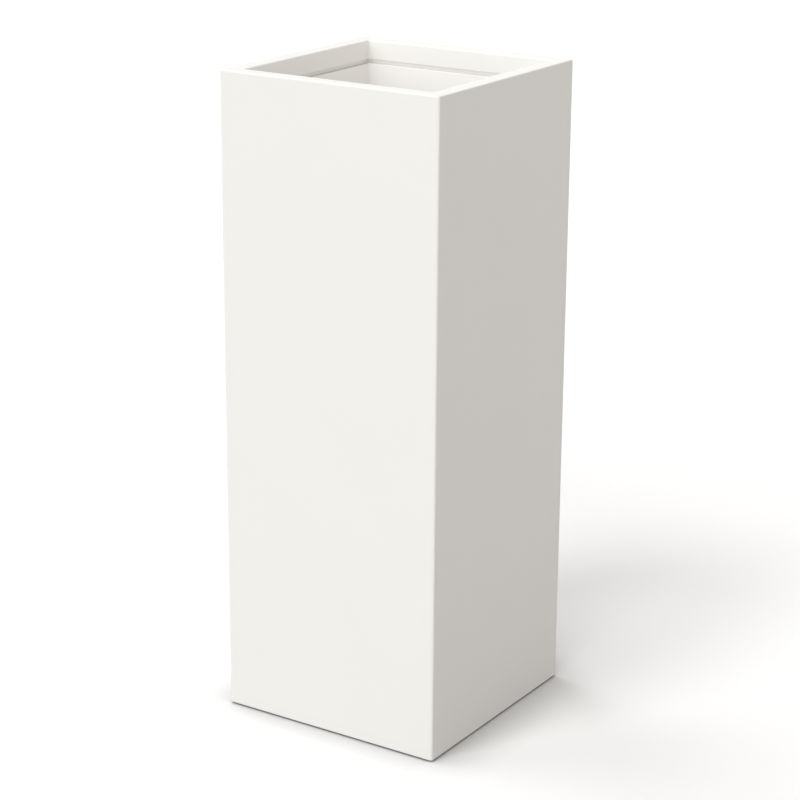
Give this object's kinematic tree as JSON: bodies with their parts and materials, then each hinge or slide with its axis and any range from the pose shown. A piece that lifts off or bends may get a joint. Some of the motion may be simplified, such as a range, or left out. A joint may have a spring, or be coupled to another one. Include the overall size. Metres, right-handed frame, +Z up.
{
  "type": "tall fiberglass planter",
  "caption": "Tall square glass-fibre planter with a flat folded rim, a lift-out planting liner on inner ledges, a plugged base drain and low rubber feet.",
  "frame": {"origin": "centre of the square footprint, on the floor plane under the feet", "axes": "+Z up, -Y the front face (left-hand face in the picture), +X the right face (right-hand face in the picture)"},
  "size_m": [0.381, 0.381, 1.016],
  "materials": {
    "shell_gelcoat": "smooth satin warm-white gelcoat, bare laminate on the inside",
    "liner_gelcoat": "smooth satin warm-white gelcoat",
    "raw_laminate": "bare glass-fibre laminate, resin rich, chopped strands showing",
    "plywood": "sanded birch-faced plywood, resin sealed",
    "softwood": "planed softwood batten, resin sealed",
    "drain_plastic": "moulded black plastic, fine matte texture",
    "rubber": "moulded black rubber, matte",
    "screw_steel": "stainless steel, satin"
  },
  "bodies": {
    "shell": {"outer_shell": "shell_gelcoat", "base_tray": "raw_laminate", "base_board": "plywood", "base_skin": "raw_laminate", "drain_bush": "drain_plastic", "drain_washer": "rubber", "drain_backnut": "drain_plastic", "foot_screws": "screw_steel", "rim_batten_front": "softwood", "rim_batten_right": "softwood", "rim_batten_back": "softwood", "rim_batten_left": "softwood", "liner_ledge_front": "raw_laminate", "liner_ledge_right": "raw_laminate", "liner_ledge_back": "raw_laminate", "liner_ledge_left": "raw_laminate", "foot_pad_front_left": "rubber", "foot_pad_front_right": "rubber", "foot_pad_back_left": "rubber", "foot_pad_back_right": "rubber"},
    "liner": {"planting_liner": "liner_gelcoat"},
    "plug": {"drain_plug": "rubber"}
  },
  "joints": [
    {"name": "liner_lift", "type": "slide", "parent": "shell", "child": "liner", "axis": [0, 0, 1], "range_m": [0, 0.43]},
    {"name": "plug_pull", "type": "slide", "parent": "shell", "child": "plug", "axis": [0, 0, 1], "range_m": [0, 0.04]}
  ]
}
